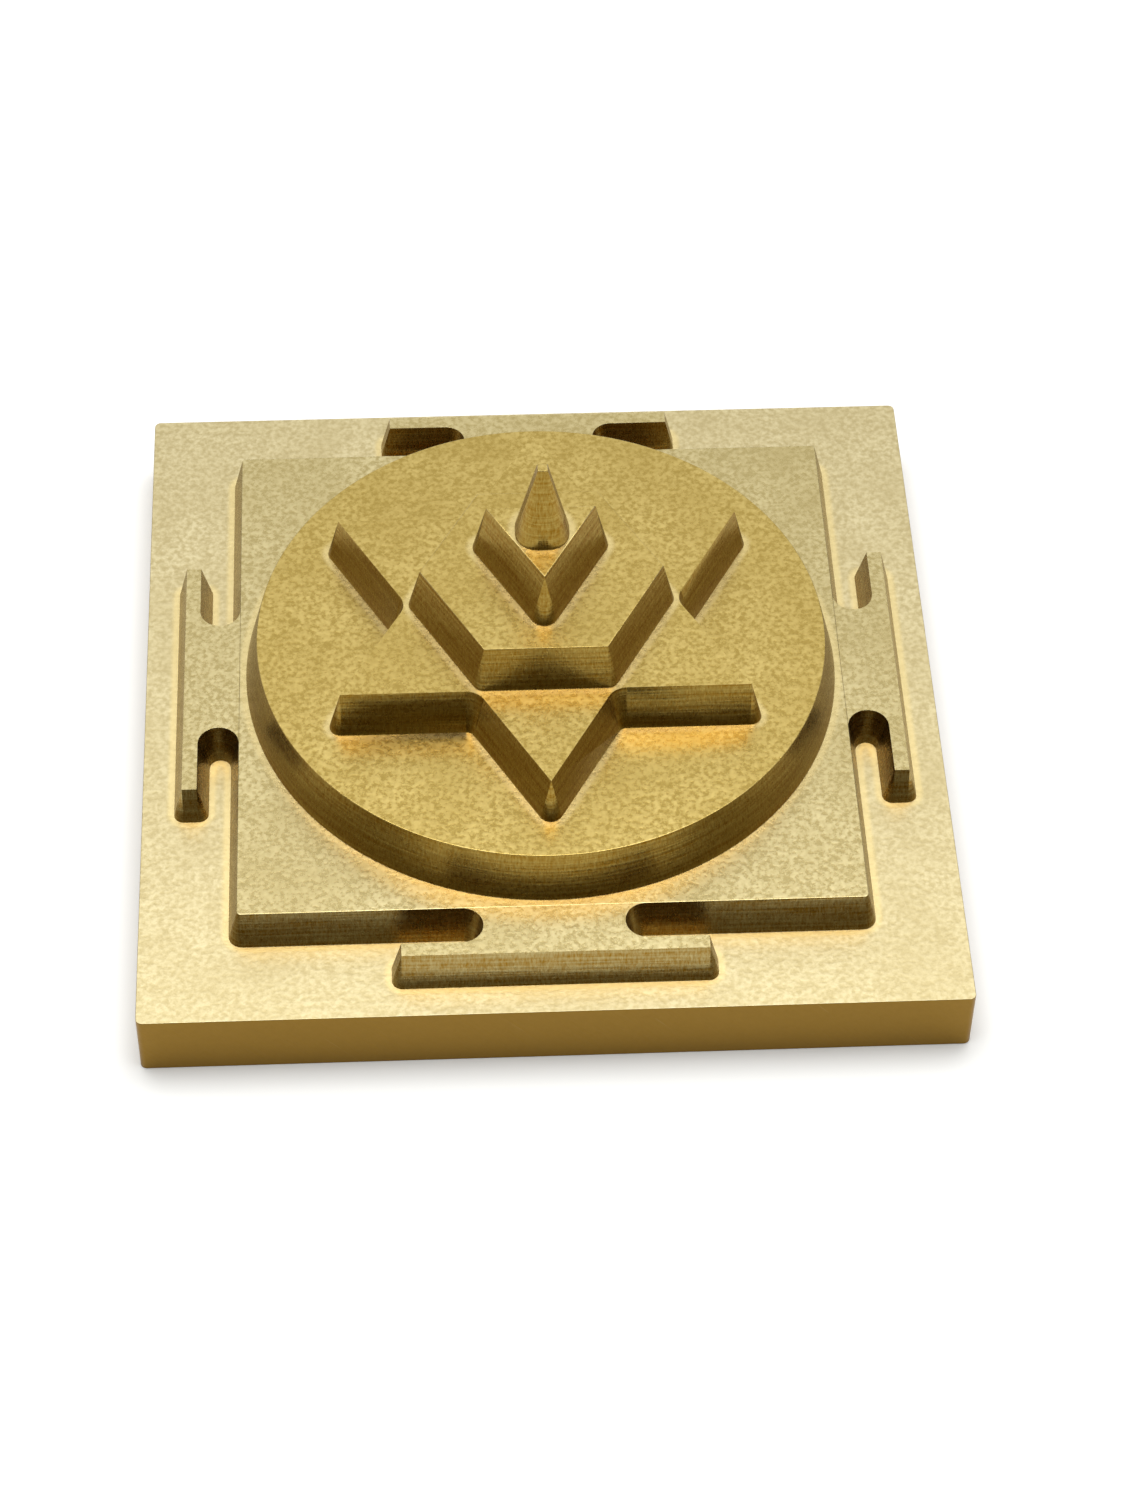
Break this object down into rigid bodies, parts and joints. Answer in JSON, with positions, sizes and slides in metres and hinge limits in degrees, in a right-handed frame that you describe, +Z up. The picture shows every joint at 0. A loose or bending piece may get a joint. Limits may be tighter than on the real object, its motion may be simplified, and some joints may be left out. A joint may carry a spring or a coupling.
{
  "type": "kuber yantra",
  "caption": "Stepped brass yantra block: square plate, gated square, disc, hexagram, hexagon and triangle rising to a central peak.",
  "frame": {"origin": "centre of the underside", "axes": "+Z up through the central peak, front of the inner triangle's point towards -Y"},
  "size_m": [0.0508, 0.0508, 0.0254],
  "materials": {
    "brass": "satin"
  },
  "bodies": {
    "root": {"base_plate": "brass", "bhupura_square": "brass", "gate_back": "brass", "gate_left": "brass", "gate_front": "brass", "gate_right": "brass", "circle_disc": "brass", "hexagram_star": "brass", "hexagon_step": "brass", "inner_triangle": "brass", "bindu_peak": "brass"}
  },
  "joints": []
}
